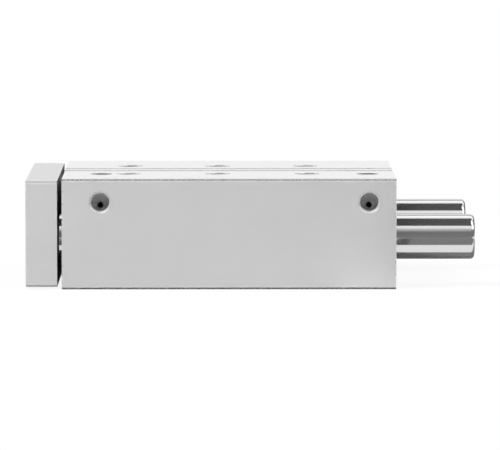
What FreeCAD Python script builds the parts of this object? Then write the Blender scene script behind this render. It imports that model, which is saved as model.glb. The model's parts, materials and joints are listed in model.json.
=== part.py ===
import FreeCAD, Part
import math
import os
from types import SimpleNamespace

import Sketcher
from FreeCAD import Placement, Rotation, Vector

# Guided pneumatic cylinder with a yoke plate and two guide rods, retracted.
# +X runs from the yoke plate to the rear, +Y from the port side to the far side, +Z up.
# The origin is the middle of the mounting hole pattern, on the underside of the housing.

# Driving dimensions, in millimetres and degrees
DIMENSIONS = {
    # Stroke, and what the housing needs beyond it
    "stroke": 100,
    "body_extra": 48,
    "port_extra": 19,
    # Housing block
    "body_width": 110,
    "body_height": 49,
    "axis_height": 22.3,
    "body_edge_bevel": 0.9,
    "end_edge_break": 0.12,
    "mouth_bevel": 0.3,
    # Mounting holes through the housing
    "first_hole": 29,
    "hole_pitch": 40,
    "hole_row_spacing": 46,
    "hole_radius": 3.4,
    "counterbore_radius": 5.5,
    "counterbore_depth": 6.8,
    # Sensor slots along the top
    "slot_spacing": 12,
    "slot_neck": 5.2,
    "slot_lip": 1.6,
    "slot_width": 7.6,
    "slot_depth": 5,
    # Cylinder bore and the seats of its end caps
    "bore_radius": 16,
    "cap_seat_radius": 17,
    "front_seat_depth": 14,
    "rear_seat_depth": 10,
    "circlip_groove_radius": 18,
    "circlip_groove_width": 1.3,
    "circlip_inset": 1.2,
    # Guide bores
    "guide_spacing": 82,
    "guide_bore_radius": 11.5,
    "guide_bore_depth": 80,
    "guide_clear_radius": 10.6,
    "wiper_seat_radius": 12.5,
    "wiper_seat_depth": 5,
    # Supply ports on the near side and on top
    "front_port": 17,
    "side_port_drop": 10.35,
    "top_port_row": 25.4,
    "port_thread_radius": 4.283,
    "port_mouth_radius": 5,
    "side_port_depth": 8,
    "top_port_depth": 10,
    "drill_point_slope": 0.6,
    # Air passages from the ports to the cylinder bore
    "passage_radius": 1.35,
    "passage_drop": 1.9,
    "passage_end": 5,
    # Yoke plate
    "yoke_gap": 2,
    "yoke_thickness": 14,
    "yoke_inset": 1,
    "yoke_edge_bevel": 0.9,
    "yoke_hole_spacing": 92,
    "yoke_hole_rise": 32,
    "yoke_hole_radius": 2.5,
    # Guide rods
    "guide_rod_radius": 10,
    "guide_rod_overhang": 35,
    "guide_rod_front_bevel": 0.8,
    "guide_rod_end_radius": 1.8,
    "guide_spigot_radius": 7,
    "spigot_depth": 3,
    # Guide bushes and wipers
    "guide_bush_length": 25,
    "front_bush_start": 8,
    "wiper_recess": 0.2,
    "wiper_play": 0.1,
    # Piston rod
    "piston_rod_radius": 6,
    "piston_spigot_radius": 5,
    "piston_spigot_length": 9.2,
    "rod_thread_depth": 14,
    # Piston
    "piston_radius": 15.8,
    "piston_half_length": 7.4,
    "piston_hub_radius": 9.9,
    "piston_seal_inset": 2,
    "piston_seal_width": 3,
    "piston_groove_radius": 12.4,
    "magnet_inner_radius": 10,
    "magnet_outer_radius": 14.8,
    "piston_o_ring_cord": 0.55,
    "piston_o_ring_seat": 1.65,
    "end_play": 0.2,
    # Cushion rings
    "cushion_radius": 13,
    "cushion_hole_radius": 7.2,
    "cushion_length": 3,
    # End caps and seals
    "cap_groove_radius": 15.1,
    "cap_groove_width": 2.6,
    "cap_o_ring_cord": 0.92,
    "rod_seal_radius": 9.5,
    "rod_seal_depth": 4.2,
    "rod_bush_radius": 7.5,
    "cap_web": 1,
    "cap_dish_radius": 11.5,
    "cap_dish_depth": 1.5,
    "puller_radius": 2.1,
    "puller_depth": 3.5,
    # Circlips
    "circlip_thickness": 1.2,
    "circlip_width": 2.6,
    "lug_radius": 2.3,
    "lug_hole_radius": 1,
    "lug_half_spacing": 3.4,
    "circlip_half_gap": 1.5,
    # Guide rod screws, low head
    "rod_screw_head_radius": 6.5,
    "rod_screw_head": 5,
    "rod_screw_radius": 4,
    "rod_screw_core": 3.4,
    "rod_screw_length": 20,
    "tap_runout": 3,
    "rod_screw_socket": 5,
    # Piston rod screw and piston screw
    "small_screw_head_radius": 5,
    "small_screw_radius": 3,
    "small_screw_core": 2.5,
    "small_screw_head": 4,
    "small_screw_length": 16,
    "small_screw_socket": 4,
    "piston_screw_head": 6,
    "piston_screw_length": 12,
    "piston_screw_socket": 5,
    # Shape of every screw, and its seat in the yoke plate
    "screw_head_bevel": 0.5,
    "screw_tip_bevel": 0.9,
    "head_recess": 1.2,
    "head_clearance": 0.5,
    # Port plugs
    "plug_recess": 0.02,
    "plug_length": 6.5,
    "plug_socket": 5,
    "plug_socket_depth": 3.8,
    "plug_seal_cord": 0.55,
    "plug_groove_width": 1.2,
    "plug_groove_end": 1,
    # Clearances
    "running_gap": 0.03,
    "seat_gap": 0.02,
    "thread_gap": 0.05,
    "clear_gap": 0.3,
}


class Size:
    """A dimension that carries its number and the sheet formula it comes from."""

    def __init__(self, number, formula=None):
        self.number = float(number)
        self.formula = formula or repr(float(number))

    def _joined(self, sign, other, number):
        return Size(number, f"({self.formula} {sign} {size(other).formula})")

    def __add__(self, other):
        return self._joined("+", other, self.number + size(other).number)

    def __sub__(self, other):
        return self._joined("-", other, self.number - size(other).number)

    def __mul__(self, other):
        return self._joined("*", other, self.number * size(other).number)

    def __truediv__(self, other):
        return self._joined("/", other, self.number / size(other).number)

    def __radd__(self, other):
        return size(other) + self

    def __rsub__(self, other):
        return size(other) - self

    def __rmul__(self, other):
        return size(other) * self

    def __neg__(self):
        return -1 * self


def size(value):
    """Wrap a plain number as a Size, and pass a Size through."""
    return value if isinstance(value, Size) else Size(value)


def fill_sheet(document):
    """Write the driving dimensions to a sheet and give each one back by its alias."""
    sheet = document.addObject("Spreadsheet::Sheet", "dims")
    aliases = {}
    for row, (alias, number) in enumerate(DIMENSIONS.items(), start=1):
        sheet.set(f"A{row}", alias)
        sheet.set(f"B{row}", str(number))
        sheet.setAlias(f"B{row}", alias)
        aliases[alias] = Size(number, f"dims.{alias}")
    document.recompute()
    return SimpleNamespace(**aliases)


doc = FreeCAD.newDocument("guided_cylinder")
d = fill_sheet(doc)

# Edges and faces this close to a plane, in millimetres, lie on it
TOUCH = 1e-6
# A cut that takes off less than this, in cubic millimetres, has missed the solid
LEAST_CUT = 1e-3

# Places that several pieces share
BODY_LENGTH = d.stroke + d.body_extra
FRONT_FACE = -(d.first_hole + d.hole_pitch)
GUIDE_ROWS = {"near": -d.guide_spacing / 2, "far": d.guide_spacing / 2}
PORT_PLACES = {"front": d.front_port, "rear": d.front_port + d.stroke + d.port_extra}
YOKE_BACK = FRONT_FACE - d.yoke_gap
YOKE_FRONT = YOKE_BACK - d.yoke_thickness
CAP_OUTER_FACE = d.circlip_inset + d.circlip_groove_width
FRONT_CAP_LENGTH = d.front_seat_depth - CAP_OUTER_FACE
REAR_CAP_LENGTH = d.rear_seat_depth - CAP_OUTER_FACE
FRONT_CUSHION_FACE = d.front_seat_depth + d.cushion_length
REAR_CUSHION_FACE = BODY_LENGTH - d.rear_seat_depth - d.cushion_length
PISTON_LENGTH = REAR_CUSHION_FACE - FRONT_CUSHION_FACE - d.stroke - 2 * d.end_play
PISTON_FRONT = FRONT_FACE + REAR_CUSHION_FACE - d.end_play - PISTON_LENGTH


def bind(item, name, value):
    """Tie one property of an object to the sheet."""
    item.setExpression(name, size(value).formula)


def new_body(label, at=(0, 0, 0)):
    """A sub-part's body, placed in the assembly."""
    body = doc.addObject("PartDesign::Body", label)
    body.Label = label
    for axis, place in zip("xyz", at):
        bind(body, f"Placement.Base.{axis}", place)
    return body


def origin_plane(body, role):
    return next(feature for feature in body.Origin.OriginFeatures if feature.Role == role)


def new_sketch(body, plane, at=(0, 0, 0)):
    """A sketch on one of the body's own planes, shifted in that plane's own axes."""
    sketch = body.newObject("Sketcher::SketchObject", f"{body.Label}_sketch")
    sketch.AttachmentSupport = [(origin_plane(body, plane), "")]
    sketch.MapMode = "FlatFace"
    for axis, shift in zip("xyz", at):
        bind(sketch, f"AttachmentOffset.Base.{axis}", shift)
    return sketch


def dimension(sketch, constraint, value):
    """Add a dimension to the sketch and tie it to the sheet."""
    index = sketch.addConstraint(constraint)
    bind(sketch, f"Constraints[{index}]", value)


def locate(sketch, geometry, point, across, up):
    """Dimension a point from the sketch's origin."""
    dimension(sketch, Sketcher.Constraint("DistanceX", -1, 1, geometry, point, across.number), across)
    dimension(sketch, Sketcher.Constraint("DistanceY", -1, 1, geometry, point, up.number), up)


def draw_outline(sketch, points):
    """A closed outline of straight lines through (across, up) corners."""
    corners = [(size(across), size(up)) for across, up in points]
    vectors = [Vector(across.number, up.number, 0) for across, up in corners]
    count = len(corners)
    lines = []
    for index in range(count):
        segment = Part.LineSegment(vectors[index], vectors[(index + 1) % count])
        lines.append(sketch.addGeometry(segment, False))
    for index, line in enumerate(lines):
        following = lines[(index + 1) % count]
        sketch.addConstraint(Sketcher.Constraint("Coincident", line, 2, following, 1))
    for line, (across, up) in zip(lines, corners):
        locate(sketch, line, 1, across, up)


def draw_circles(sketch, centres, radius):
    """Equal circles at (across, up) centres."""
    radius = size(radius)
    for across, up in centres:
        across = size(across)
        up = size(up)
        circle = Part.Circle(Vector(across.number, up.number, 0), Vector(0, 0, 1), radius.number)
        index = sketch.addGeometry(circle, False)
        dimension(sketch, Sketcher.Constraint("Radius", index, radius.number), radius)
        locate(sketch, index, 3, across, up)


def hexagon(across_flats):
    """The corners of a socket, standing on a flat."""
    reach = across_flats / math.sqrt(3)
    turns = [math.radians(60 * step) for step in range(6)]
    return [(reach * math.cos(turn), reach * math.sin(turn)) for turn in turns]


def rectangle(left, right, bottom, top):
    return [(left, bottom), (right, bottom), (right, top), (left, top)]


def revolve(body, sketch, axis="H_Axis"):
    turning = body.newObject("PartDesign::Revolution", f"{body.Label}_turning")
    turning.Profile = sketch
    turning.ReferenceAxis = (sketch, [axis])
    turning.Angle = 360
    doc.recompute()


def pad(body, sketch, length):
    block = body.newObject("PartDesign::Pad", f"{body.Label}_pad")
    block.Profile = sketch
    bind(block, "Length", length)
    doc.recompute()


def check_cut(body, before):
    """A cut that points away from the solid takes nothing off and shows no error."""
    doc.recompute()
    if body.Shape.Volume > before - LEAST_CUT:
        raise RuntimeError(f"a cut in {body.Label} took nothing off")


def pocket(body, sketch, depth=None, along_normal=False):
    """Cut a sketch into the body, right through if it has no depth."""
    before = body.Shape.Volume
    cut = body.newObject("PartDesign::Pocket", f"{body.Label}_pocket")
    cut.Profile = sketch
    cut.Reversed = along_normal
    if depth is None:
        cut.Type = "ThroughAll"
    else:
        cut.Type = "Length"
        bind(cut, "Length", depth)
    check_cut(body, before)


def groove(body, sketch, axis):
    before = body.Shape.Volume
    cut = body.newObject("PartDesign::Groove", f"{body.Label}_groove")
    cut.Profile = sketch
    cut.ReferenceAxis = (sketch, [axis])
    cut.Angle = 360
    check_cut(body, before)


def edges_where(shape, test):
    return [f"Edge{index}" for index, edge in enumerate(shape.Edges, start=1) if test(edge)]


def break_edges(body, kind, amount, test):
    """Round or bevel the edges of the body that pass the test."""
    base = body.Tip
    edge_break = body.newObject(f"PartDesign::{kind}", f"{body.Label}_{kind.lower()}")
    edge_break.Base = (base, edges_where(base.Shape, test))
    bind(edge_break, "Radius" if kind == "Fillet" else "Size", amount)
    doc.recompute()


def bevel_mouths(body, face_test, radii):
    """Bevel the mouths of round holes of the given radii, on the faces that pass the test."""
    wanted = [radius.number for radius in radii]

    def is_mouth(edge):
        if edge.Degenerated or not isinstance(edge.Curve, Part.Circle):
            return False
        right_size = any(abs(edge.Curve.Radius - radius) < TOUCH for radius in wanted)
        return right_size and face_test(edge.BoundBox)

    break_edges(body, "Chamfer", d.mouth_bevel, is_mouth)


def turned(label, at, profile):
    """A piece turned about its own X axis from (along, radius) corners."""
    body = new_body(label, at)
    sketch = new_sketch(body, "XZ_Plane")
    draw_outline(sketch, profile)
    revolve(body, sketch)
    return body


def ring(label, at, length, inner, outer):
    return turned(label, at, rectangle(0, length, inner, outer))


def o_ring(label, at, middle, cord):
    """A round-section ring about X."""
    body = new_body(label, at)
    sketch = new_sketch(body, "XZ_Plane")
    draw_circles(sketch, [(0, middle)], cord)
    revolve(body, sketch)
    return body


def on_axis(along):
    """A place on the cylinder axis, given from the housing's front face."""
    return (FRONT_FACE + along, 0, d.axis_height)


def slot_corners(centre):
    """One sensor slot, from its left lip to its right lip, as part of the housing's outline."""
    neck = d.slot_neck / 2
    half = d.slot_width / 2
    top = d.body_height
    lip = top - d.slot_lip
    floor = top - d.slot_depth
    right = [(neck, top), (neck, lip), (half, lip), (half, floor)]
    left = [(-half, floor), (-half, lip), (-neck, lip), (-neck, top)]
    return [(centre + across, up) for across, up in right + left]


def housing_block():
    """The extruded block with its sensor slots, bevelled along its length and deburred at its ends."""
    body = new_body("housing", (FRONT_FACE, 0, 0))
    half = d.body_width / 2
    outline = [(-half, 0), (half, 0), (half, d.body_height)]
    for centre in (d.slot_spacing / 2, -d.slot_spacing / 2):
        outline += slot_corners(centre)
    outline.append((-half, d.body_height))
    sketch = new_sketch(body, "YZ_Plane")
    draw_outline(sketch, outline)
    pad(body, sketch, BODY_LENGTH)

    def is_long_corner(edge):
        middle = edge.BoundBox.Center
        at_side = abs(abs(middle.y) - half.number) < TOUCH
        return at_side and abs(edge.Length - BODY_LENGTH.number) < TOUCH

    def is_end_edge(edge):
        box = edge.BoundBox
        at_end = box.XLength < TOUCH and (box.XMin < TOUCH or box.XMin > BODY_LENGTH.number - TOUCH)
        middle = box.Center
        low = middle.z < d.body_edge_bevel.number
        wide = abs(middle.y) > half.number - d.body_edge_bevel.number
        top = middle.z > d.body_height.number - TOUCH and abs(middle.y) > d.slot_spacing.number
        return at_end and (low or wide or top)

    break_edges(body, "Chamfer", d.body_edge_bevel, is_long_corner)
    break_edges(body, "Chamfer", d.end_edge_break, is_end_edge)
    return body


def bore_housing(body):
    """Cylinder bore, guide bores and the seats at both ends."""
    centre = (0, d.axis_height)
    guides = [(row, d.axis_height) for row in GUIDE_ROWS.values()]
    from_front = (
        ([centre], d.bore_radius, None),
        (guides, d.guide_clear_radius, None),
        ([centre], d.cap_seat_radius, d.front_seat_depth),
        (guides, d.guide_bore_radius, d.guide_bore_depth),
        (guides, d.wiper_seat_radius, d.wiper_seat_depth),
    )
    for centres, radius, depth in from_front:
        sketch = new_sketch(body, "YZ_Plane")
        draw_circles(sketch, centres, radius)
        pocket(body, sketch, depth, along_normal=True)
    sketch = new_sketch(body, "YZ_Plane", (0, 0, BODY_LENGTH))
    draw_circles(sketch, [centre], d.cap_seat_radius)
    pocket(body, sketch, d.rear_seat_depth)
    front_groove = d.circlip_inset
    rear_groove = BODY_LENGTH - d.circlip_inset - d.circlip_groove_width
    for start in (front_groove, rear_groove):
        sketch = new_sketch(body, "XZ_Plane", (0, d.axis_height, 0))
        end = start + d.circlip_groove_width
        draw_outline(sketch, rectangle(start, end, d.bore_radius, d.circlip_groove_radius))
        groove(body, sketch, "H_Axis")


def drill_mounting_holes(body):
    """Six through holes, counterbored from the top."""
    places = []
    for step in range(3):
        for side in (-1, 1):
            places.append((d.first_hole + step * d.hole_pitch, side * d.hole_row_spacing / 2))
    sketch = new_sketch(body, "XY_Plane")
    draw_circles(sketch, places, d.hole_radius)
    pocket(body, sketch, along_normal=True)
    sketch = new_sketch(body, "XY_Plane", (0, 0, d.body_height))
    draw_circles(sketch, places, d.counterbore_radius)
    pocket(body, sketch, d.counterbore_depth)


def port_profile(surface, inward, depth):
    """Half section of a tapped port with a bevelled mouth and a drill point."""
    bevel = d.port_mouth_radius - d.port_thread_radius
    point = depth + d.port_thread_radius * d.drill_point_slope
    return [
        (0, surface),
        (d.port_mouth_radius, surface),
        (d.port_thread_radius, surface + inward * bevel),
        (d.port_thread_radius, surface + inward * depth),
        (0, surface + inward * point),
    ]


def drill_ports(body):
    """Side ports, top ports and the air passages that join them to the cylinder bore."""
    near_side = -d.body_width / 2
    side_height = d.body_height - d.side_port_drop
    for along in PORT_PLACES.values():
        sketch = new_sketch(body, "XY_Plane", (along, 0, side_height))
        draw_outline(sketch, port_profile(near_side, 1, d.side_port_depth))
        groove(body, sketch, "V_Axis")
        sketch = new_sketch(body, "XZ_Plane", (along, 0, d.top_port_row))
        draw_outline(sketch, port_profile(d.body_height, -1, d.top_port_depth))
        groove(body, sketch, "V_Axis")
    port_floor = near_side + d.side_port_depth
    sketch = new_sketch(body, "XZ_Plane", (0, 0, -port_floor))
    mouths = [(along, side_height - d.passage_drop) for along in PORT_PLACES.values()]
    draw_circles(sketch, mouths, d.passage_radius)
    pocket(body, sketch, -d.passage_end - port_floor)


def housing():
    body = housing_block()
    bore_housing(body)
    drill_mounting_holes(body)
    drill_ports(body)
    top = d.body_height.number
    rear = BODY_LENGTH.number
    bevel_mouths(body, lambda box: box.ZMin > top - TOUCH, [d.counterbore_radius])
    bevel_mouths(body, lambda box: box.XMin > rear - TOUCH, [d.cap_seat_radius, d.guide_clear_radius])
    bevel_mouths(body, lambda box: box.XMax < TOUCH, [d.cap_seat_radius, d.wiper_seat_radius])
    return body


def cap_outline(length):
    """Outer half section of an end cap, with its sealing ring groove half way along."""
    radius = d.cap_seat_radius - d.seat_gap
    start = (length - d.cap_groove_width) / 2
    end = start + d.cap_groove_width
    return [
        (0, radius),
        (start, radius),
        (start, d.cap_groove_radius),
        (end, d.cap_groove_radius),
        (end, radius),
        (length, radius),
    ]


def front_bearing_cap():
    length = FRONT_CAP_LENGTH
    web_end = d.rod_seal_depth + d.cap_web
    hole = d.piston_rod_radius + d.clear_gap
    inner = [
        (length, d.rod_bush_radius),
        (web_end, d.rod_bush_radius),
        (web_end, hole),
        (d.rod_seal_depth, hole),
        (d.rod_seal_depth, d.rod_seal_radius),
        (0, d.rod_seal_radius),
    ]
    return turned("front_bearing_cap", on_axis(CAP_OUTER_FACE), cap_outline(length) + inner)


def rear_end_cap():
    """A disc with a shallow dish and a tapped puller hole in its outer face."""
    length = REAR_CAP_LENGTH
    dish = length - d.cap_dish_depth
    puller_end = dish - d.puller_depth
    inner = [
        (length, d.cap_dish_radius),
        (dish, d.cap_dish_radius - d.cap_dish_depth),
        (dish, d.puller_radius),
        (puller_end, d.puller_radius),
        (puller_end - d.puller_radius * d.drill_point_slope, 0),
        (0, 0),
    ]
    seat = BODY_LENGTH - d.rear_seat_depth
    return turned("rear_end_cap", on_axis(seat), cap_outline(length) + inner)


def cap_o_rings():
    middle = (d.cap_groove_radius + d.cap_seat_radius) / 2
    front = CAP_OUTER_FACE + FRONT_CAP_LENGTH / 2
    rear = BODY_LENGTH - CAP_OUTER_FACE - REAR_CAP_LENGTH / 2
    return [
        o_ring("front_cap_o_ring", on_axis(front), middle, d.cap_o_ring_cord),
        o_ring("rear_cap_o_ring", on_axis(rear), middle, d.cap_o_ring_cord),
    ]


def circlip(label, at):
    """An open retaining ring with two pierced lugs."""
    body = new_body(label, at)
    outer = d.circlip_groove_radius - d.thread_gap
    inner = outer - d.circlip_width
    lug_height = -(inner - d.lug_radius / 2)
    lugs = [(-d.lug_half_spacing, lug_height), (d.lug_half_spacing, lug_height)]
    sketch = new_sketch(body, "YZ_Plane")
    draw_circles(sketch, [(0, 0)], outer)
    draw_circles(sketch, [(0, 0)], inner)
    pad(body, sketch, d.circlip_thickness)
    sketch = new_sketch(body, "YZ_Plane")
    draw_circles(sketch, lugs, d.lug_radius)
    pad(body, sketch, d.circlip_thickness)
    sketch = new_sketch(body, "YZ_Plane")
    draw_circles(sketch, lugs, d.lug_hole_radius)
    pocket(body, sketch, along_normal=True)
    sketch = new_sketch(body, "YZ_Plane")
    gap = d.circlip_half_gap
    draw_outline(sketch, rectangle(-gap, gap, -(outer + gap), -(inner - 2 * d.lug_radius)))
    pocket(body, sketch, along_normal=True)
    return body


def circlips():
    inset = d.circlip_inset + (d.circlip_groove_width - d.circlip_thickness) / 2
    rear = BODY_LENGTH - inset - d.circlip_thickness
    return [circlip("front_cap_circlip", on_axis(inset)), circlip("rear_cap_circlip", on_axis(rear))]


def lip_seal(label, at, width, inner, outer, open_to_rear=True):
    """A seal ring with a V groove between its two lips."""
    middle = (inner + outer) / 2
    notch = (outer - inner) / 4
    back, lips = (0, width) if open_to_rear else (width, 0)
    profile = [
        (back, inner),
        (back, outer),
        (lips, outer),
        (lips, middle + notch),
        (width / 2, middle),
        (lips, middle - notch),
        (lips, inner),
    ]
    return turned(label, at, profile)


def rod_bearing_pieces():
    """The plain bush and the lip seal in the front cap."""
    rod = d.piston_rod_radius + d.running_gap
    bush_start = CAP_OUTER_FACE + d.rod_seal_depth + d.cap_web + d.seat_gap
    bush_length = d.front_seat_depth - bush_start - d.seat_gap
    bush_outer = d.rod_bush_radius - d.seat_gap
    seal_width = d.rod_seal_depth - 2 * d.seat_gap
    seal_outer = d.rod_seal_radius - d.seat_gap
    seal_place = on_axis(CAP_OUTER_FACE + d.seat_gap)
    return [
        ring("piston_rod_bush", on_axis(bush_start), bush_length, rod, bush_outer),
        lip_seal("piston_rod_seal", seal_place, seal_width, rod, seal_outer),
    ]


def cushion_rings():
    sizes = (d.cushion_length, d.cushion_hole_radius, d.cushion_radius)
    return [
        ring("front_cushion_ring", on_axis(d.front_seat_depth), *sizes),
        ring("rear_cushion_ring", on_axis(REAR_CUSHION_FACE), *sizes),
    ]


def guide_bushes_and_wipers():
    """Two plain bushes and a wiper ring in each guide bore."""
    pieces = []
    rod = d.guide_rod_radius + d.running_gap
    bush = d.guide_bore_radius - d.seat_gap
    rear_start = d.guide_bore_depth - d.guide_bush_length
    for side, row in GUIDE_ROWS.items():
        for end, start in (("front", d.front_bush_start), ("rear", rear_start)):
            place = (FRONT_FACE + start, row, d.axis_height)
            pieces.append(ring(f"{side}_{end}_guide_bush", place, d.guide_bush_length, rod, bush))
        place = (FRONT_FACE + d.wiper_recess, row, d.axis_height)
        width = d.wiper_seat_depth - d.wiper_recess - d.wiper_play
        outer = d.wiper_seat_radius - d.seat_gap
        pieces.append(lip_seal(f"{side}_guide_wiper", place, width, rod, outer))
    return pieces


def cut_socket(body, plane, across_flats, depth, along_normal):
    """A hexagon socket, cut from the piece's own origin."""
    sketch = new_sketch(body, plane)
    draw_outline(sketch, hexagon(across_flats))
    pocket(body, sketch, depth, along_normal)


def port_plug(label, along):
    """A socket plug, nearly flush, with a tapered head in the port's bevel and a sealing groove."""
    body = new_body(label, (FRONT_FACE + along, -d.top_port_row, d.body_height - d.plug_recess))
    head = d.port_mouth_radius - d.plug_recess - 2 * d.thread_gap
    shank = d.port_thread_radius - d.thread_gap
    groove_floor = shank - 2 * d.plug_seal_cord
    groove_end = d.plug_length - d.plug_groove_end
    groove_top = groove_end - d.plug_groove_width
    sketch = new_sketch(body, "XZ_Plane")
    draw_outline(sketch, [
        (0, 0),
        (head, 0),
        (shank, shank - head),
        (shank, -groove_top),
        (groove_floor, -groove_top),
        (groove_floor, -groove_end),
        (shank, -groove_end),
        (shank, -d.plug_length),
        (0, -d.plug_length),
    ])
    revolve(body, sketch, "V_Axis")
    cut_socket(body, "XY_Plane", d.plug_socket, d.plug_socket_depth, along_normal=False)
    return body


def plug_seal(end, along):
    """The round-section ring in a plug's groove."""
    depth = d.plug_length - d.plug_groove_end - d.plug_groove_width / 2
    height = d.body_height - d.plug_recess - depth
    body = new_body(f"{end}_plug_seal", (FRONT_FACE + along, -d.top_port_row, height))
    sketch = new_sketch(body, "XZ_Plane")
    middle = d.port_thread_radius - d.thread_gap - d.plug_seal_cord
    draw_circles(sketch, [(middle, 0)], d.plug_seal_cord - d.seat_gap)
    revolve(body, sketch, "V_Axis")
    return body


def group(label, bodies):
    """Several equal pieces that share one node, each still a solid of its own."""
    compound = doc.addObject("Part::Compound", label)
    compound.Label = label
    compound.Links = bodies
    return compound


def port_plugs():
    pieces = [port_plug(f"{end}_port_plug", along) for end, along in PORT_PLACES.items()]
    seals = [plug_seal(end, along) for end, along in PORT_PLACES.items()]
    return pieces + [group("port_plug_seals", seals)]


def stepped_holes(body, centres, head, clear, spigot):
    """Screw holes through the yoke plate: head recess, clearance and a seat for the rod's spigot."""
    head_radius, head_height = head
    sketch = new_sketch(body, "YZ_Plane")
    draw_circles(sketch, centres, clear)
    pocket(body, sketch, along_normal=True)
    sketch = new_sketch(body, "YZ_Plane")
    draw_circles(sketch, centres, head_radius + d.head_clearance)
    pocket(body, sketch, d.head_recess + head_height, along_normal=True)
    sketch = new_sketch(body, "YZ_Plane", (0, 0, d.yoke_thickness))
    draw_circles(sketch, centres, spigot + d.seat_gap)
    pocket(body, sketch, d.spigot_depth)


def yoke_plate():
    body = new_body("yoke_plate", (YOKE_FRONT, 0, d.axis_height))
    half_width = d.body_width / 2 - d.yoke_inset
    bottom = d.yoke_inset - d.axis_height
    top = d.body_height - d.yoke_inset - d.axis_height
    sketch = new_sketch(body, "YZ_Plane")
    draw_outline(sketch, rectangle(-half_width, half_width, bottom, top))
    pad(body, sketch, d.yoke_thickness)
    break_edges(body, "Chamfer", d.yoke_edge_bevel, lambda edge: edge.BoundBox.XLength > TOUCH)
    break_edges(body, "Chamfer", d.end_edge_break, lambda edge: edge.BoundBox.XLength < TOUCH)
    guides = [(row, 0) for row in GUIDE_ROWS.values()]
    guide_head = (d.rod_screw_head_radius, d.rod_screw_head)
    rod_head = (d.small_screw_head_radius, d.small_screw_head)
    guide_clear = d.rod_screw_radius + d.clear_gap
    rod_clear = d.small_screw_radius + d.clear_gap
    stepped_holes(body, guides, guide_head, guide_clear, d.guide_spigot_radius)
    stepped_holes(body, [(0, 0)], rod_head, rod_clear, d.piston_rod_radius)
    middle = (bottom + top) / 2
    reach = d.yoke_hole_spacing / 2
    rise = d.yoke_hole_rise / 2
    corners = rectangle(-reach, reach, middle - rise, middle + rise)
    sketch = new_sketch(body, "YZ_Plane")
    draw_circles(sketch, corners, d.yoke_hole_radius)
    pocket(body, sketch, along_normal=True)
    recesses = [d.rod_screw_head_radius + d.head_clearance, d.small_screw_head_radius + d.head_clearance]
    bevel_mouths(body, lambda box: box.XMax < TOUCH, recesses)
    return body


def guide_rod(label, row):
    """A ground rod with a spigot in the plate, a tapped front end and a rounded rear end."""
    length = d.yoke_gap + BODY_LENGTH + d.guide_rod_overhang
    radius = d.guide_rod_radius
    bevel = d.guide_rod_front_bevel
    spigot_end = d.seat_gap - d.spigot_depth
    thread_end = d.rod_screw_length + d.tap_runout
    body = turned(label, (YOKE_BACK, row, d.axis_height), [
        (spigot_end, d.rod_screw_core),
        (spigot_end, d.guide_spigot_radius),
        (0, d.guide_spigot_radius),
        (0, radius - bevel),
        (bevel, radius),
        (length, radius),
        (length, 0),
        (thread_end, 0),
        (thread_end, d.rod_screw_core),
    ])

    def is_rear_rim(edge):
        box = edge.BoundBox
        return box.XLength < TOUCH and abs(box.XMin - length.number) < TOUCH

    break_edges(body, "Fillet", d.guide_rod_end_radius, is_rear_rim)
    return body


def guide_rods():
    return [guide_rod(f"{side}_guide_rod", row) for side, row in GUIDE_ROWS.items()]


def piston_rod():
    """The driving rod, tapped at both ends, with a spigot that carries the piston."""
    start = YOKE_BACK - d.spigot_depth + d.seat_gap
    shoulder = PISTON_FRONT - start
    end = shoulder + d.piston_spigot_length
    radius = d.piston_rod_radius
    return turned("piston_rod", (start, 0, d.axis_height), [
        (0, d.small_screw_core),
        (0, radius),
        (shoulder, radius),
        (shoulder, d.piston_spigot_radius),
        (end, d.piston_spigot_radius),
        (end, d.small_screw_core),
        (end - d.rod_thread_depth, d.small_screw_core),
        (end - d.rod_thread_depth, 0),
        (d.rod_thread_depth, 0),
        (d.rod_thread_depth, d.small_screw_core),
    ])


def socket_screw(label, at, head, core, length, socket, turned_round=False):
    """A socket head screw along +X, or along -X if it is turned round."""
    head_radius, head_height = head
    bevel = d.screw_head_bevel
    shank = core - d.thread_gap
    end = head_height + length
    socket_depth = head_height / 2
    body = turned(label, at, [
        (0, 0),
        (0, head_radius - bevel),
        (bevel, head_radius),
        (head_height, head_radius),
        (head_height, shank),
        (end - d.screw_tip_bevel, shank),
        (end, shank - d.screw_tip_bevel),
        (end, 0),
    ])
    cut_socket(body, "YZ_Plane", socket, socket_depth, along_normal=True)
    if turned_round:
        body.Placement = Placement(body.Placement.Base, Rotation(Vector(0, 0, 1), 180))
    return body


def yoke_screws():
    """Two screws into the guide rods and one into the piston rod."""
    along = YOKE_FRONT + d.head_recess
    guide_head = (d.rod_screw_head_radius, d.rod_screw_head)
    guide_screws = []
    for side, row in GUIDE_ROWS.items():
        place = (along, row, d.axis_height)
        guide_screws.append(socket_screw(
            f"{side}_guide_rod_screw", place, guide_head, d.rod_screw_core, d.rod_screw_length,
            d.rod_screw_socket))
    rod_head = (d.small_screw_head_radius, d.small_screw_head)
    rod_screw = socket_screw(
        "piston_rod_screw", (along, 0, d.axis_height), rod_head, d.small_screw_core, d.small_screw_length,
        d.small_screw_socket)
    return [group("guide_rod_screws", guide_screws), rod_screw]


def piston_body_profile(start, hub):
    """Half section of one piston half, with its seal groove; hub gives its front and bore corners."""
    groove_start = start + d.piston_seal_inset
    groove_end = groove_start + d.piston_seal_width
    end = start + d.piston_half_length
    return hub + [
        (start, d.piston_radius),
        (groove_start, d.piston_radius),
        (groove_start, d.piston_groove_radius),
        (groove_end, d.piston_groove_radius),
        (groove_end, d.piston_radius),
        (end, d.piston_radius),
    ]


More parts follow.
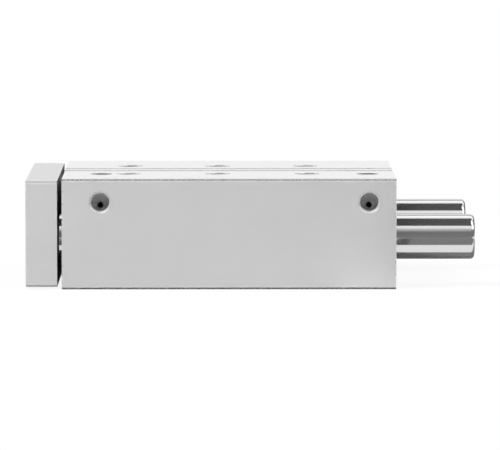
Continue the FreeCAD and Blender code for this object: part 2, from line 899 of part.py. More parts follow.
def piston_halves():
    place = (PISTON_FRONT, 0, d.axis_height)
    half = d.piston_half_length
    bore = d.piston_spigot_radius + d.seat_gap
    ring_seat = half - d.piston_o_ring_seat
    ring_seat_radius = bore + 2 * d.piston_o_ring_cord + 2 * d.thread_gap
    front = piston_body_profile(size(0), [(0, bore)]) + [
        (half, ring_seat_radius),
        (ring_seat, ring_seat_radius),
        (ring_seat, bore),
    ]
    rear_start = PISTON_LENGTH - half
    web_start = d.piston_spigot_length + d.seat_gap
    web_end = PISTON_LENGTH - d.piston_screw_head - d.end_play
    recess = d.small_screw_head_radius + d.head_clearance
    hole = d.small_screw_radius + d.clear_gap
    hub = [(half, bore), (half, d.piston_hub_radius), (rear_start, d.piston_hub_radius)]
    rear = piston_body_profile(rear_start, hub) + [
        (PISTON_LENGTH, recess),
        (web_end, recess),
        (web_end, hole),
        (web_start, hole),
        (web_start, bore),
    ]
    return [turned("piston_front_half", place, front), turned("piston_rear_half", place, rear)]


def piston_rings():
    """Magnet, guide band, lip seals and the static seal on the rod's spigot."""
    half = d.piston_half_length
    width = PISTON_LENGTH - 2 * half - 2 * d.seat_gap
    magnet_start = PISTON_FRONT + half + d.seat_gap
    bore = d.bore_radius - d.running_gap
    seal_inner = d.piston_groove_radius + d.seat_gap
    seal_width = d.piston_seal_width - 2 * d.seat_gap
    seal_start = PISTON_FRONT + d.piston_seal_inset + d.seat_gap
    rear_shift = PISTON_LENGTH - half
    cord = d.piston_o_ring_cord
    o_ring_place = PISTON_FRONT + half - d.piston_o_ring_seat / 2
    o_ring_middle = d.piston_spigot_radius + cord + d.thread_gap
    pieces = [
        ring("piston_magnet", (magnet_start, 0, d.axis_height), width,
             d.magnet_inner_radius, d.magnet_outer_radius),
        ring("piston_guide_band", (magnet_start, 0, d.axis_height), width,
             d.magnet_outer_radius + d.thread_gap, bore),
        o_ring("piston_o_ring", (o_ring_place, 0, d.axis_height), o_ring_middle, cord),
    ]
    for end, shift in (("front", 0), ("rear", rear_shift)):
        place = (seal_start + shift, 0, d.axis_height)
        pieces.append(lip_seal(
            f"piston_{end}_seal", place, seal_width, seal_inner, bore, open_to_rear=end == "rear"))
    return pieces


def piston_screw():
    """The screw that holds the piston on its rod, put in from the rear."""
    place = (PISTON_FRONT + PISTON_LENGTH - d.end_play, 0, d.axis_height)
    head = (d.small_screw_head_radius, d.piston_screw_head)
    return socket_screw(
        "piston_screw", place, head, d.small_screw_core, d.piston_screw_length, d.piston_screw_socket,
        turned_round=True)


def make_pieces():
    pieces = [housing(), front_bearing_cap(), rear_end_cap()]
    pieces += cap_o_rings() + circlips() + rod_bearing_pieces() + cushion_rings()
    pieces += guide_bushes_and_wipers() + port_plugs()
    pieces += [yoke_plate(), piston_rod(), piston_screw()]
    pieces += guide_rods() + yoke_screws() + piston_halves() + piston_rings()
    return pieces


def check_document(pieces):
    """Stop if any object failed or any piece is empty, broken or without a solid."""
    doc.recompute()
    failed = [item.Label for item in doc.Objects if {"Invalid", "Error"} & set(item.State)]
    if failed:
        raise RuntimeError(f"failed objects: {failed}")
    for piece in pieces:
        shape = piece.Shape
        if shape.isNull() or not shape.isValid() or not shape.Solids:
            raise RuntimeError(f"bad shape: {piece.Label}")


def write_steps(pieces):
    os.makedirs("parts", exist_ok=True)
    for piece in pieces:
        piece.Shape.exportStep(f"parts/{piece.Label}.step")


pieces = make_pieces()
check_document(pieces)
write_steps(pieces)
for piece in pieces:
    box = piece.Shape.BoundBox
    print(f"{piece.Label}: {len(piece.Shape.Solids)} solid, {piece.Shape.Volume:.0f} mm3, "
          f"x {box.XMin:.2f} to {box.XMax:.2f}")
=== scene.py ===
import json
import math

import bpy
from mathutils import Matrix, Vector


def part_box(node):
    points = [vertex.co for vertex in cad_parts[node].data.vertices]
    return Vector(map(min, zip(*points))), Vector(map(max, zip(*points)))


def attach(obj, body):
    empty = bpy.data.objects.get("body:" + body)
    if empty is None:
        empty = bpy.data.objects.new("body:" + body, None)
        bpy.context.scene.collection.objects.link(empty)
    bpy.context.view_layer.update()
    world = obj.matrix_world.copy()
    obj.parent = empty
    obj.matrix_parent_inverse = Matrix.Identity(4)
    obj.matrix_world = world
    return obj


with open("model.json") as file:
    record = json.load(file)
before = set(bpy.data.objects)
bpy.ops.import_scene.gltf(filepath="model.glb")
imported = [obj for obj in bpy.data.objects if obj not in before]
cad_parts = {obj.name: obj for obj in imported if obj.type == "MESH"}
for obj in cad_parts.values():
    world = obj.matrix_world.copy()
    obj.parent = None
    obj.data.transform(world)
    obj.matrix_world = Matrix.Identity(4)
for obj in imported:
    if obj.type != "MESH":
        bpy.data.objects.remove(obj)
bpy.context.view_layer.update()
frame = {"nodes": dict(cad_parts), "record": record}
nodes = frame["nodes"]
mounts = {mount["name"]: mount for mount in frame["record"]["mounts"]}

MM = 0.001
MICRON = 0.000001

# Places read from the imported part, in metres
housing_low, housing_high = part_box("housing")
yoke_low, yoke_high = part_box("yoke_plate")
near_rod_low, near_rod_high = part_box("near_guide_rod")
far_rod_low, far_rod_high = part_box("far_guide_rod")
plug_low, plug_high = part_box("front_port_plug")
rear_cap_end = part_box("rear_end_cap")[1].x
axis_height = (near_rod_low.z + near_rod_high.z) / 2
guide_row = (far_rod_low.y + far_rod_high.y) / 2
plug_row = (plug_low.y + plug_high.y) / 2
front_port = Vector(mounts["front_supply_port"]["pos_m"])
rear_port = Vector(mounts["rear_supply_port"]["pos_m"])
sensor_row = mounts["far_sensor_slot"]["pos_m"][1]

# Sizes of edges and holes that the finishes and threads follow
edge_bevel = 0.9 * MM
port_core = mounts["front_supply_port"]["dims"]["r_mm"] * MM
port_mouth = 5 * MM
hole_pitch = mounts["base_bolts"]["dims"]["spacing_x_mm"] * MM / 2
hole_row = mounts["base_bolts"]["dims"]["spacing_y_mm"] * MM / 2
counterbore_radius = 5.5 * MM
slot_half_width = 3.8 * MM
slot_depth = 5 * MM
plug_socket_radius = 2.9 * MM
puller_radius = 2.1 * MM
cap_dish_depth = 1.5 * MM

# Where a finish stops: how far it reaches from a flat face, how far below a surface a recess starts,
# and how far a sharp limit stands off and fades
ON_FACE = 0.02 * MM
RECESS_START = 0.3 * MM
SHARP_CLEARANCE = 0.05 * MM
SHARP_FADE = 0.04 * MM


class Wire:
    """An output socket of a node tree. Arithmetic on it adds Math nodes to that tree."""

    def __init__(self, tree, socket=None):
        self.tree = tree
        self.socket = socket

    def node(self, kind, settings=None, inputs=None, output=0):
        """Add a node: its settings are made first, then its sockets are set or linked."""
        added = self.tree.nodes.new(kind)
        for name, value in (settings or {}).items():
            if name == "stops":
                set_stops(added.color_ramp, value)
            else:
                setattr(added, name, value)
        for name, value in (inputs or {}).items():
            if isinstance(value, Wire):
                self.tree.links.new(value.socket, added.inputs[name])
            else:
                added.inputs[name].default_value = value
        return Wire(self.tree, added.outputs[output] if added.outputs else None)

    def other(self, output):
        """Another output of the same node."""
        return Wire(self.tree, self.socket.node.outputs[output])

    def math(self, operation, *values):
        return self.node("ShaderNodeMath", {"operation": operation}, dict(enumerate(values)))

    def __add__(self, other):
        return self.math("ADD", self, other)

    def __sub__(self, other):
        return self.math("SUBTRACT", self, other)

    def __rsub__(self, other):
        return self.math("SUBTRACT", other, self)

    def __mul__(self, other):
        return self.math("MULTIPLY", self, other)

    def __pow__(self, other):
        return self.math("POWER", self, other)

    def __abs__(self):
        return self.math("ABSOLUTE", self)

    __radd__ = __add__
    __rmul__ = __mul__


def set_stops(ramp, stops):
    """Give a colour ramp its stops, as (place, grey level) pairs."""
    while len(ramp.elements) < len(stops):
        ramp.elements.new(1.0)
    for element, (place, level) in zip(ramp.elements, stops):
        element.position = place
        element.color = grey(level)


def grey(level):
    return (level, level, level, 1.0)


def larger(first, second):
    return first.math("MAXIMUM", first, second)


def mix(first, second, share):
    """From the first number or wire to the second, as share goes from 0 to 1."""
    return first + (second - first) * share


def step(value, low, high):
    """A smooth step from 0 at low to 1 at high."""
    sockets = {"Value": value, "From Min": low, "From Max": high}
    return value.node("ShaderNodeMapRange", {"interpolation_type": "SMOOTHSTEP"}, sockets)


def below(value, limit, soft=0.1 * MM):
    """1 where a value is under its limit, falling to 0 over a soft stretch past it."""
    return 1 - step(value, limit, limit + soft)


def axes_of(vector):
    """The three numbers of a vector."""
    x = vector.node("ShaderNodeSeparateXYZ", inputs={0: vector})
    return x, x.other(1), x.other(2)


def distance(first, second):
    """How far a point is from an axis, from its two distances across it."""
    return (first * first + second * second) ** 0.5


def folded(value, first, second):
    """Distance along one axis from the nearer of two places, negative between them."""
    return abs(value - (first + second) / 2) - abs(second - first) / 2


def noise(place, scales, detail=2.0):
    """Smooth noise around 0.5, with features about 1 / scale metres long on each axis."""
    stretched = place.node("ShaderNodeVectorMath", {"operation": "MULTIPLY"}, {0: place, 1: scales})
    return place.node("ShaderNodeTexNoise", inputs={"Vector": stretched, "Scale": 1.0, "Detail": detail})


def grain_noise(place, scale, detail=3.0):
    return noise(place, (scale, scale, scale), detail)


# How many features per metre a slow wander has, and how far it shifts marks, in radians
WANDER_SCALE = 300
WANDER_SHIFT = 3.0


def waves(along, pitch, wander):
    """Even marks from 0 to 1 along a distance, shifted by a slow wander."""
    phase = along * (2 * math.pi / pitch) + WANDER_SHIFT * wander
    return 0.5 + 0.5 * phase.math("SINE", phase)


def turning(place, first, second, pitch=0.22 * MM):
    """Ring marks of a lathe or a boring tool about an axis."""
    return waves(distance(first, second), pitch, grain_noise(place, WANDER_SCALE))


def lathe_feed(place, pitch):
    """Marks round a turned surface, a feed apart along X."""
    return waves(axes_of(place)[0], pitch, grain_noise(place, WANDER_SCALE))


def milling(place, across, up, feed=0.7 * MM, cutter=60 * MM):
    """The shallow arcs that a face mill leaves as it is fed across."""
    sweep = (cutter * cutter - up * up) ** 0.5
    return waves(across + sweep, feed, grain_noise(place, scale=120))


def box_edges(place, low, high, width):
    """1 along the edges of a block, where two of its faces meet, falling to 0 within width."""
    near = []
    for value, small, large in zip(axes_of(place), low, high):
        half = (large - small) / 2
        near.append(step(abs(value - (small + large) / 2), half - width, half))
    return larger(larger(near[1] * near[2], near[0] * near[2]), near[0] * near[1])


def long_bevels(place, low, high):
    """1 on the four bevels of a block that run along X, and 0 on its faces."""
    y, z = axes_of(place)[1:]
    from_sides = -1 * folded(y, low.y, high.y)
    from_top_and_bottom = -1 * folded(z, low.z, high.z)
    inside = edge_bevel - 0.1 * MM
    return below(from_sides, inside) * below(from_top_and_bottom, inside)


def painted_highlight_rim(place, top):
    """1 on the stretch of a block's sides just under its upper bevels, where a highlight is painted, and 0
    elsewhere.
    """
    under_top = top - axes_of(place)[2]
    rim_width = 0.3 * MM
    bevel_and_rim = below(under_top, edge_bevel + rim_width, soft=rim_width)
    return bevel_and_rim - below(under_top, edge_bevel - SHARP_CLEARANCE, SHARP_FADE)


def new_finish(name, draw, *details):
    """A new material: a function draws its nodes, from the wire of its Object coordinates."""
    material = bpy.data.materials.new(name)
    material.use_nodes = True
    material.node_tree.nodes.clear()
    draw(Wire(material.node_tree).node("ShaderNodeTexCoord", output="Object"), *details)
    return material


def surface(place, shade, tint, roughness, relief, depth, metallic, glance=1.0):
    """The surface itself: a shade times a tint, relief of that depth in metres, and its shine when grazed."""
    channels = {index: shade * level for index, level in enumerate(tint)}
    colour = place.node("ShaderNodeCombineColor", inputs=channels)
    bump = place.node("ShaderNodeBump", inputs={"Distance": depth, "Height": relief})
    sockets = {"Base Color": colour, "Roughness": roughness, "Metallic": metallic, "Normal": bump}
    sockets["Specular Tint"] = grey(glance)
    shader = place.node("ShaderNodeBsdfPrincipled", inputs=sockets)
    place.node("ShaderNodeOutputMaterial", inputs={"Surface": shader})


# Tints over a shade
NEUTRAL = (1.0, 1.0, 1.0)
ZINC = (1.0, 1.0, 1.03)
RUBBED_BROWN = (1.04, 1.0, 0.97)
BRONZE = (0.60, 0.43, 0.24)
OFF_WHITE = (0.78, 0.76, 0.70)

# Shades of the block, its slots and the plate; of the ports and their mouths, painted darker as the shade
# in those recesses; and of the two faces across the gap, painted dark as the shade in the gap
HOUSING_SHADE = 0.80
YOKE_SHADE = 0.56
SLOT_SHADE = 0.80
PORT_PAINTED_SHADE = 0.66
PORT_MOUTH_PAINTED_SHADE = 0.61
GAP_PAINTED_SHADE = 0.27

# How metallic a surface is under a dull film, in a port's mouth, anodised, and bare
DULL_METAL = 0.1
MOUTH_METAL = 0.3
ANODISED_METAL = 0.6
BARE_METAL = 0.9

# Marks that run one way, in features per metre along X, Y and Z
DRAWN_LINES = (30, 2200, 2200)
MILLED_LINES = (1500, 60, 1500)
GRINDING_RINGS = (9000, 300, 300)
LENGTHWISE_RUBS = (12, 1500, 1500)

ANODISED_RELIEF = 6 * MICRON


def anodised(place, level, marks, low, high):
    """Shade, roughness and relief of anodised aluminium with those tool marks, its edges rubbed bright, and a
    painted highlight under its upper bevels.
    """
    grain = grain_noise(place, scale=2600)
    cloud = grain_noise(place, scale=45)
    patches = step(grain_noise(place, scale=900), 0.35, 0.65)
    rubbed = box_edges(place, low, high, width=1.2 * MM) * patches
    shade = level + 0.05 * cloud + 0.04 * marks + 0.03 * grain + 0.05 * rubbed
    # A painted highlight along the sides just under the upper bevels
    shade = shade + 0.11 * painted_highlight_rim(place, high.z)
    roughness = 0.26 + 0.06 * marks + 0.06 * grain - 0.06 * rubbed
    return shade, roughness, marks + 0.6 * grain


def housing_finish(place):
    """An extrusion drawn along its length, with milled ends, bored screw seats, and tapped ports painted
    darker as their shade.
    """
    x, y, z = axes_of(place)
    ends = below(abs(folded(x, housing_low.x, housing_high.x)), ON_FACE)
    marks = mix(noise(place, DRAWN_LINES, detail=4), milling(place, y, z), ends)
    along_seat = folded(abs(x), 0.0, hole_pitch)
    across_seat = folded(y, -hole_row, hole_row)
    in_seat = below(distance(along_seat, across_seat), counterbore_radius)
    in_seat = in_seat * below(z, housing_high.z - RECESS_START)
    marks = mix(marks, turning(place, along_seat, across_seat), in_seat)
    shade, roughness, relief = anodised(place, HOUSING_SHADE, marks, housing_low, housing_high)
    from_port = distance(folded(x, front_port.x, rear_port.x), z - front_port.z)
    near_side = below(y, -guide_row)
    in_port = below(from_port, port_core + SHARP_CLEARANCE) * near_side
    in_mouth = below(from_port, port_mouth) * near_side
    under_slot = housing_high.z - slot_depth - 1 * MM
    in_slot = below(abs(folded(y, -sensor_row, sensor_row)), slot_half_width)
    in_slot = in_slot * below(z, housing_high.z - SHARP_CLEARANCE, SHARP_FADE)
    in_slot = in_slot * (1 - below(z, under_slot)) * (1 - ends)
    # The end face towards the plate is painted dark, as the shade in the gap
    painted_gap_shade = below(x, housing_low.x + ON_FACE)
    # The ports and their mouths are painted darker, as the shade in those recesses
    shade = mix(mix(shade, SLOT_SHADE, in_slot), PORT_MOUTH_PAINTED_SHADE, in_mouth)
    shade = mix(mix(shade, PORT_PAINTED_SHADE, in_port), GAP_PAINTED_SHADE, painted_gap_shade)
    bevels = long_bevels(place, housing_low, housing_high)
    roughness = mix(roughness, 0.5, in_mouth) - 0.03 * bevels
    metallic = mix(mix(ANODISED_METAL + 0.18 * bevels, DULL_METAL, in_slot), BARE_METAL, in_seat)
    metallic = mix(mix(metallic, MOUTH_METAL, in_mouth), DULL_METAL, in_port)
    surface(place, shade, NEUTRAL, roughness, relief, ANODISED_RELIEF, metallic)


def yoke_finish(place):
    """A plate milled on its two faces and along its edges, then anodised."""
    x, y, z = axes_of(place)
    faces = below(abs(folded(x, yoke_low.x, yoke_high.x)), ON_FACE)
    marks = mix(noise(place, MILLED_LINES, detail=4), milling(place, y, z), faces)
    shade, roughness, relief = anodised(place, YOKE_SHADE, marks, yoke_low, yoke_high)
    # The face towards the housing is painted dark, as the shade in the gap
    painted_gap_shade = 1 - below(x, yoke_high.x - ON_FACE, soft=ON_FACE / 2)
    shade = mix(shade, GAP_PAINTED_SHADE, painted_gap_shade)
    bevels = long_bevels(place, yoke_low, yoke_high)
    roughness = roughness + 0.20 * (1 - bevels)
    metallic = DULL_METAL + 0.3 * bevels
    surface(place, shade, NEUTRAL, roughness, relief, ANODISED_RELIEF, metallic, glance=0.6)


def rod_finish(place):
    """Hard chromed and ground: very fine rings, a few lengthwise rubs, and a turned end."""
    x, y, z = axes_of(place)
    ground = noise(place, GRINDING_RINGS)
    rubs = noise(place, LENGTHWISE_RUBS, detail=3)
    end = 1 - below(x, near_rod_high.x - 0.2 * MM)
    rings = turning(place, folded(y, -guide_row, guide_row), z - axis_height)
    shade = 0.71 + 0.03 * ground + 0.02 * rubs
    roughness = 0.06 + 0.03 * ground + 0.02 * rubs + 0.14 * end
    relief = mix(ground, 10 * rings, end)
    surface(place, shade, NEUTRAL, roughness, relief, depth=0.2 * MICRON, metallic=0.92)


def turned_aluminium(place, level):
    """Bare aluminium turned about the cylinder's axis."""
    y, z = axes_of(place)[1:]
    rings = turning(place, y, z - axis_height)
    grain = grain_noise(place, scale=2200)
    shade = level + 0.06 * rings + 0.06 * grain
    roughness = 0.26 + 0.10 * grain
    surface(place, shade, NEUTRAL, roughness, rings + 0.4 * grain, depth=3 * MICRON, metallic=BARE_METAL)


def plug_finish(place):
    """Zinc plated steel with dulled, turned tops, and painted lighter in the sockets, as light against the
    shade in them.
    """
    x, y, z = axes_of(place)
    along = folded(x, front_port.x, rear_port.x)
    across = y - plug_row
    rings = turning(place, along, across)
    grain = grain_noise(place, scale=2000)
    socket = below(distance(along, across), plug_socket_radius) * below(z, plug_high.z - RECESS_START)
    # The sockets are painted lighter, as light against the shade in them
    shade = mix(0.40 + 0.10 * grain + 0.05 * rings, 0.66, socket)
    roughness = 0.42 + 0.12 * grain
    surface(place, shade, ZINC, roughness, rings + grain, depth=3 * MICRON, metallic=0.95, glance=0.2)


def screw_finish(place):
    """Black oxide steel, rubbed brown on the turned rings of the heads."""
    y, z = axes_of(place)[1:]
    rings = turning(place, folded(abs(y), 0.0, guide_row), z - axis_height, pitch=0.3 * MM)
    grain = grain_noise(place, scale=1800)
    rubbed = step(grain_noise(place, scale=400), 0.5, 0.75)
    shade = 0.07 + 0.05 * grain + 0.04 * rings + 0.06 * rubbed
    roughness = 0.36 + 0.14 * grain
    surface(place, shade, RUBBED_BROWN, roughness, rings + grain, depth=4 * MICRON, metallic=0.85)


def bush_finish(place):
    """Plain bearing bronze, bored and turned, with small dark pores."""
    rings = lathe_feed(place, pitch=0.25 * MM)
    pores = step(grain_noise(place, scale=2400, detail=2), 0.60, 0.68)
    shade = 0.92 + 0.16 * rings - 0.45 * pores
    roughness = 0.32 + 0.2 * pores
    surface(place, shade, BRONZE, roughness, rings - pores, depth=4 * MICRON, metallic=1.0)


def band_finish(place):
    """A machined plastic band, off white, with turning marks round it."""
    rings = lathe_feed(place, pitch=0.18 * MM)
    grain = grain_noise(place, scale=1500)
    shade = 0.95 + 0.06 * rings + 0.06 * grain
    roughness = 0.45 + 0.1 * grain
    surface(place, shade, OFF_WHITE, roughness, rings, depth=5 * MICRON, metallic=0.0)


def grained(place, tint, grain_scale, roughness, depth, metallic=0.0):
    """A moulded, bonded or phosphated surface: an even tint over a fine grain, slightly cloudy."""
    grain = grain_noise(place, grain_scale, detail=4)
    cloud = grain_noise(place, scale=90)
    shade = 0.65 + 0.45 * grain + 0.25 * cloud
    surface(place, shade, tint, roughness + 0.2 * grain, grain, depth, metallic)


def make_finishes():
    """A finish for each of the record's material slots."""
    # Each grained one has its tint, grain scale, roughness and relief, and a metal how metallic it is
    phosphate = ((0.09, 0.09, 0.095), 2600, 0.35, 6 * MICRON, 0.7)
    rubber = ((0.028, 0.028, 0.03), 1800, 0.45, 8 * MICRON)
    polyurethane = ((0.10, 0.16, 0.24), 700, 0.32, 6 * MICRON)
    ferrite = ((0.10, 0.10, 0.11), 3200, 0.55, 9 * MICRON)
    cap_shade = 0.60
    piston_shade = 0.62
    return {
        "housing_anodised": new_finish("housing_drawn_aluminium", housing_finish),
        "yoke_anodised": new_finish("yoke_milled_aluminium", yoke_finish),
        "cap_aluminium": new_finish("cap_turned_aluminium", turned_aluminium, cap_shade),
        "piston_aluminium": new_finish("piston_turned_aluminium", turned_aluminium, piston_shade),
        "ground_rod_steel": new_finish("rod_ground_chrome", rod_finish),
        "plug_steel": new_finish("plug_zinc", plug_finish),
        "screw_steel": new_finish("screw_black_oxide", screw_finish),
        "circlip_steel": new_finish("circlip_phosphate", grained, *phosphate),
        "bush_bronze": new_finish("bush_turned_bronze", bush_finish),
        "seal_rubber": new_finish("seal_black_rubber", grained, *rubber),
        "cushion_polyurethane": new_finish("cushion_blue_grey", grained, *polyurethane),
        "band_plastic": new_finish("band_turned_plastic", band_finish),
        "magnet_ferrite": new_finish("magnet_bonded_ferrite", grained, *ferrite),
    }


def dress_nodes(finishes):
    """Put its slot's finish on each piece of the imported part."""
    for part in frame["record"]["subparts"]:
        mesh = nodes[part["node"]].data
        for index in range(len(mesh.materials)):
            mesh.materials[index] = finishes[part["material_slot"]]


# A thread ridge: how far it is sunk into the wall, its foot as a share of the pitch, its crest as a share
# of the foot, and how finely it is stepped and smoothed
RIDGE_SUNK = 0.02 * MM
RIDGE_FOOT = 0.8
RIDGE_CREST = 0.2
RIDGE_STEPS = 36
RIDGE_SMOOTH = math.radians(30)


def thread_ridge(wall, height, pitch, length):
    """A helical ridge along Z from the origin, standing inwards from the wall of a tapped hole."""
    base = wall + RIDGE_SUNK
    crest = wall - height
    middle = (base + crest) / 2
    bpy.ops.object.select_all(action="DESELECT")
    bpy.ops.mesh.primitive_plane_add(size=1.0, location=(middle, 0, 0), rotation=(math.pi / 2, 0, 0))
    ridge = bpy.context.active_object
    ridge.scale = (base - crest, RIDGE_FOOT * pitch, 1.0)
    bpy.ops.object.transform_apply(location=True, rotation=True, scale=True)
    for vertex in ridge.data.vertices:
        vertex.select = vertex.co.x < middle
    bpy.ops.object.mode_set(mode="EDIT")
    bpy.ops.mesh.select_mode(type="VERT")
    bpy.ops.transform.resize(value=(1.0, 1.0, RIDGE_CREST), center_override=(crest, 0, 0))
    bpy.ops.mesh.select_all(action="SELECT")
    bpy.ops.mesh.delete(type="ONLY_FACE")
    bpy.ops.object.mode_set(mode="OBJECT")
    helix = ridge.modifiers.new("helix", "SCREW")
    helix.axis = "Z"
    helix.screw_offset = pitch
    helix.iterations = round(length / pitch)
    helix.steps = RIDGE_STEPS
    helix.render_steps = RIDGE_STEPS
    bpy.ops.object.modifier_apply(modifier="helix")
    bpy.ops.object.mode_set(mode="EDIT")
    bpy.ops.mesh.select_all(action="SELECT")
    bpy.ops.mesh.fill_holes(sides=4)
    bpy.ops.mesh.normals_make_consistent(inside=False)
    bpy.ops.object.mode_set(mode="OBJECT")
    bpy.ops.object.shade_smooth_by_angle(angle=RIDGE_SMOOTH)
    return ridge


def set_thread(model, name, mouth, inward, body, finish):
    """Copy a thread ridge into a hole, from its mouth inwards."""
    piece = model.copy()
    piece.data = model.data.copy()
    piece.name = name
    piece.data.name = name
    piece.location = mouth
    piece.rotation_mode = "QUATERNION"
    piece.rotation_quaternion = Vector(inward).to_track_quat("Z", "Y")
    bpy.context.scene.collection.objects.link(piece)
    bpy.ops.object.select_all(action="DESELECT")
    piece.select_set(True)
    bpy.context.view_layer.objects.active = piece
    bpy.ops.object.transform_apply(location=True, rotation=True, scale=True)
    piece.data.materials.clear()
    piece.data.materials.append(finish)
    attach(piece, body)


def port_threads(finish):
    """G1/8 threads in the two side ports, behind their bevelled mouths."""
    start = housing_low.y + 1.2 * MM
    inward = (0, 1, 0)
    model = thread_ridge(port_core, height=0.26 * MM, pitch=0.907 * MM, length=6.4 * MM)
    for name, port in (("front_port_thread", front_port), ("rear_port_thread", rear_port)):
        mouth = (port.x, start, port.z)
        set_thread(model, name, mouth, inward, "housing", finish)
    bpy.data.objects.remove(model)


def yoke_threads(finish):
    """M6 threads in the four corner holes of the yoke plate."""
    bolts = mounts["yoke_bolts"]
    radius = bolts["dims"]["hole_r_mm"] * MM
    across = bolts["dims"]["spacing_x_mm"] * MM / 2
    rise = bolts["dims"]["spacing_y_mm"] * MM / 2
    middle = bolts["pos_m"][2]
    inset = 0.5 * MM
    length = yoke_high.x - yoke_low.x - 2 * inset
    inward = (1, 0, 0)
    model = thread_ridge(radius, height=0.2 * MM, pitch=1.0 * MM, length=length)
    for side, y in (("near", -across), ("far", across)):
        for level, z in (("lower", middle - rise), ("upper", middle + rise)):
            name = f"{side}_{level}_yoke_thread"
            mouth = (yoke_low.x + inset, y, z)
            set_thread(model, name, mouth, inward, "yoke", finish)
    bpy.data.objects.remove(model)


def puller_thread(finish):
    """M5 thread in the middle of the rear cap."""
    dish_floor = rear_cap_end - cap_dish_depth
    mouth = (dish_floor - 0.4 * MM, 0, axis_height)
    inward = (-1, 0, 0)
    model = thread_ridge(puller_radius, height=0.18 * MM, pitch=0.8 * MM, length=2.8 * MM)
    set_thread(model, "puller_hole_thread", mouth, inward, "housing", finish)
    bpy.data.objects.remove(model)


# The studio, in metres. The cards lie just over the floor, and both just under the object
FLOOR_SIZE = 60.0
FLOOR_HEIGHT = housing_low.z - 0.05 * MM
CARD_HEIGHT = housing_low.z - 0.02 * MM
LAMP_DISTANCE = 3.0
STRIP_LENGTH = 5.0

# The photograph's camera: its place in metres, lens and sensor in millimetres, and angles in degrees
CAMERA_PLACE = Vector((0.85, -2197.5, 215.5)) * MM
CAMERA_LENS = 350.5
CAMERA_SENSOR = 36.0
CAMERA_PITCH = 4.985
CAMERA_YAW = 0.3583
CAMERA_REACH = 100.0


def softbox(name, toward, size, radiance):
    """A rectangular lamp that faces the object from that direction and looks that bright from there."""
    lamp = bpy.data.lights.new(name, "AREA")
    lamp.shape = "RECTANGLE"
    lamp.size, lamp.size_y = size
    lamp.energy = radiance * math.pi * size[0] * size[1]
    holder = bpy.data.objects.new(name, lamp)
    holder.location = Vector(toward).normalized() * LAMP_DISTANCE
    holder.rotation_mode = "QUATERNION"
    holder.rotation_quaternion = Vector(toward).to_track_quat("Z", "Y")
    bpy.context.scene.collection.objects.link(holder)


def strip_light(name, low_angle, high_angle, radiance):
    """A long softbox along the object that fills those angles, up from the camera's side and over."""
    height = 2 * LAMP_DISTANCE * math.tan(math.radians(high_angle - low_angle) / 2)
    turn = math.radians((low_angle + high_angle) / 2)
    softbox(name, (0.0, -math.cos(turn), math.sin(turn)), (STRIP_LENGTH, height), radiance)


def studio_lights():
    """Two strips that the rods mirror, a key light from the front left and a fill light from the right."""
    strip_light("front_softbox", low_angle=46, high_angle=60, radiance=1.0)
    strip_light("back_softbox", low_angle=110, high_angle=133.5, radiance=1.15)
    softbox("key_softbox", toward=(-0.6, -0.5, 1.0), size=(1.2, 1.6), radiance=9.5)
    softbox("fill_softbox", toward=(1.0, -0.25, 1.25), size=(1.3, 2.8), radiance=3.3)


# Grey levels of the room by height, from the horizon at 0 to straight up at 1
FRONT_LEVELS = [(0.0, 0.165), (0.43, 0.14), (0.53, 0.29), (0.7, 0.72), (0.74, 0.03), (1.0, 0.015)]
BACK_LEVELS = [(0.0, 0.99), (0.3, 0.89), (0.6, 0.65), (0.85, 0.03)]


def studio_world():
    """A room dark overhead, grey with a paler band in front and at the sides, and pale behind the object."""
    world = bpy.data.worlds.new("studio")
    bpy.context.scene.world = world
    world.use_nodes = True
    world.node_tree.nodes.clear()
    direction = Wire(world.node_tree).node("ShaderNodeTexCoord", output="Generated")
    aside, depth, height = axes_of(direction)
    front = direction.node("ShaderNodeValToRGB", {"stops": FRONT_LEVELS}, {0: height})
    back = direction.node("ShaderNodeValToRGB", {"stops": BACK_LEVELS}, {0: height})
    behind = step(depth, -0.1, 0.3) * below(abs(aside), 0.25, soft=0.25)
    sockets = {0: behind, 6: front, 7: back}
    level = direction.node("ShaderNodeMix", {"data_type": "RGBA"}, sockets, output=2)
    light = direction.node("ShaderNodeBackground", inputs={"Color": level, "Strength": 1.0})
    direction.node("ShaderNodeOutputWorld", inputs={"Surface": light})


def floor_finish(place):
    """White for what sees it directly or mirrored, and near the object still darkened by its shadow."""
    x, y = axes_of(place)[:2]
    camera = place.node("ShaderNodeLightPath", output="Is Camera Ray")
    seen = larger(larger(camera, camera.other("Is Glossy Ray")), camera.other("Is Transmission Ray"))
    away = step(distance(x, y), 0.15, 0.8)
    own_light = mix(0.90, 1.0, away)
    matte = place.node("ShaderNodeBsdfDiffuse", inputs={"Color": grey(0.90)})
    white = place.node("ShaderNodeEmission", inputs={"Color": grey(1.0), "Strength": 1.0})
    shader = place.node("ShaderNodeMixShader", inputs={0: seen * own_light, 1: matte, 2: white})
    place.node("ShaderNodeOutputMaterial", inputs={"Surface": shader})


def studio_floor():
    bpy.ops.object.select_all(action="DESELECT")
    bpy.ops.mesh.primitive_plane_add(size=FLOOR_SIZE, location=(0, 0, FLOOR_HEIGHT))
    floor = bpy.context.active_object
    floor.name = "floor"
    floor.data.materials.append(new_finish("pale_floor", floor_finish))


def card_finish(place, level):
    matte = place.node("ShaderNodeBsdfDiffuse", inputs={"Color": grey(level)})
    place.node("ShaderNodeOutputMaterial", inputs={"Surface": matte})


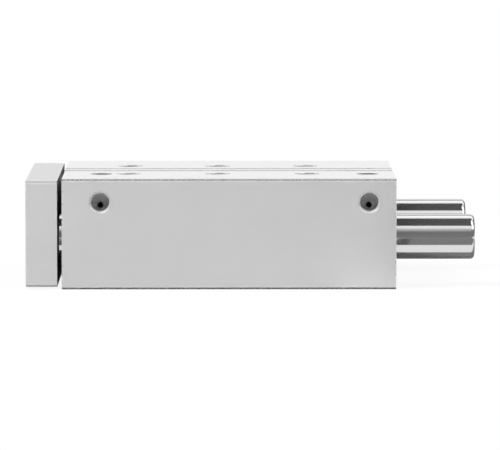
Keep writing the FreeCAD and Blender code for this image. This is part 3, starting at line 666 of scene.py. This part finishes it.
def floor_card(name, level, front_edge, back_edge):
    """A flat card on the floor, seen only in reflections.

    An edge is its y, its left end and its right end.
    """
    bpy.ops.object.select_all(action="DESELECT")
    bpy.ops.mesh.primitive_plane_add(size=1.0)
    card = bpy.context.active_object
    card.name = name
    corners = [(x, y) for y, left, right in (front_edge, back_edge) for x in (left, right)]
    for vertex, (x, y) in zip(card.data.vertices, corners):
        vertex.co = (x, y, CARD_HEIGHT)
    card.data.materials.append(new_finish(name, card_finish, level))
    for ray in ("camera", "diffuse", "transmission", "volume_scatter", "shadow"):
        setattr(card, f"visible_{ray}", False)


def straight_card(name, level, ends, front, back):
    """A rectangular card between two places along X, from front to back."""
    floor_card(name, level, (front, *ends), (back, *ends))


def mirrored_sight(x, y):
    """Where the camera's line of sight to x on the near side gets to, mirrored back as far as y."""
    spread = (x - CAMERA_PLACE.x) / (housing_low.y - CAMERA_PLACE.y)
    return x + spread * (housing_low.y - y)


def sight_card(name, level, left, right, back):
    """A card in front of one stretch of the object, so wide that only this stretch mirrors it."""
    front = -FLOOR_SIZE / 2
    edges = [(y, mirrored_sight(left, y), mirrored_sight(right, y)) for y in (front, back)]
    floor_card(name, level, *edges)


def grey_cards():
    """Mid grey in front of the block, and darker before and under the gap, the rods and the lower edges."""
    block_back = housing_low.y - 1 * MM
    rods_back = near_rod_low.y - 22.5 * MM
    base_back = housing_low.y + 8 * MM
    before_plate = yoke_low.x - 300 * MM
    block_end = housing_high.x - 25 * MM
    rod_foot = housing_high.x + 6 * MM
    past_rods = near_rod_high.x + 175 * MM
    sight_card("plate_card", 0.53, before_plate, yoke_high.x, block_back)
    # A near-black card before the gap, painting the gap's shade into the rods' reflections there
    sight_card("gap_card", 0.03, yoke_high.x, housing_low.x, rods_back)
    sight_card("housing_card", 0.46, housing_low.x, block_end, block_back)
    sight_card("housing_end_card", 0.63, block_end, housing_high.x, block_back)
    # A near-black card at the rods' foot, painting the housing's shadow into their reflections
    sight_card("rod_foot_card", 0.05, housing_high.x, rod_foot, rods_back)
    sight_card("rod_card", 0.16, rod_foot, past_rods, rods_back)
    under_front = near_rod_low.y + 1 * MM
    under_back = far_rod_high.y
    under_rods = (housing_high.x, past_rods)
    under_gap = (yoke_high.x, housing_low.x)
    under_block = (yoke_low.x, housing_high.x)
    # Dark cards under the rods, the gap and the lower edges, painting shade into the reflections of
    # undersides and bevels
    straight_card("under_rods_card", 0.20, under_rods, under_front, under_back)
    straight_card("under_gap_card", 0.04, under_gap, under_front, under_back)
    straight_card("base_card", 0.12, under_block, block_back, base_back)


def photo_camera():
    """The photograph's camera: a long lens from the port side, a little above the object."""
    camera = bpy.data.cameras.new("camera")
    camera.sensor_fit = "HORIZONTAL"
    camera.sensor_width = CAMERA_SENSOR
    camera.lens = CAMERA_LENS
    camera.clip_end = CAMERA_REACH
    holder = bpy.data.objects.new("camera", camera)
    holder.location = CAMERA_PLACE
    pitch = math.radians(CAMERA_PITCH)
    yaw = math.radians(CAMERA_YAW)
    holder.rotation_euler = (math.pi / 2 - pitch, 0.0, -yaw)
    bpy.context.scene.collection.objects.link(holder)
    bpy.context.scene.camera = holder


bpy.context.scene.view_settings.view_transform = "Standard"
finishes = make_finishes()
dress_nodes(finishes)
port_threads(finishes["housing_anodised"])
yoke_threads(finishes["yoke_anodised"])
puller_thread(finishes["cap_aluminium"])
studio_floor()
grey_cards()
studio_world()
studio_lights()
photo_camera()
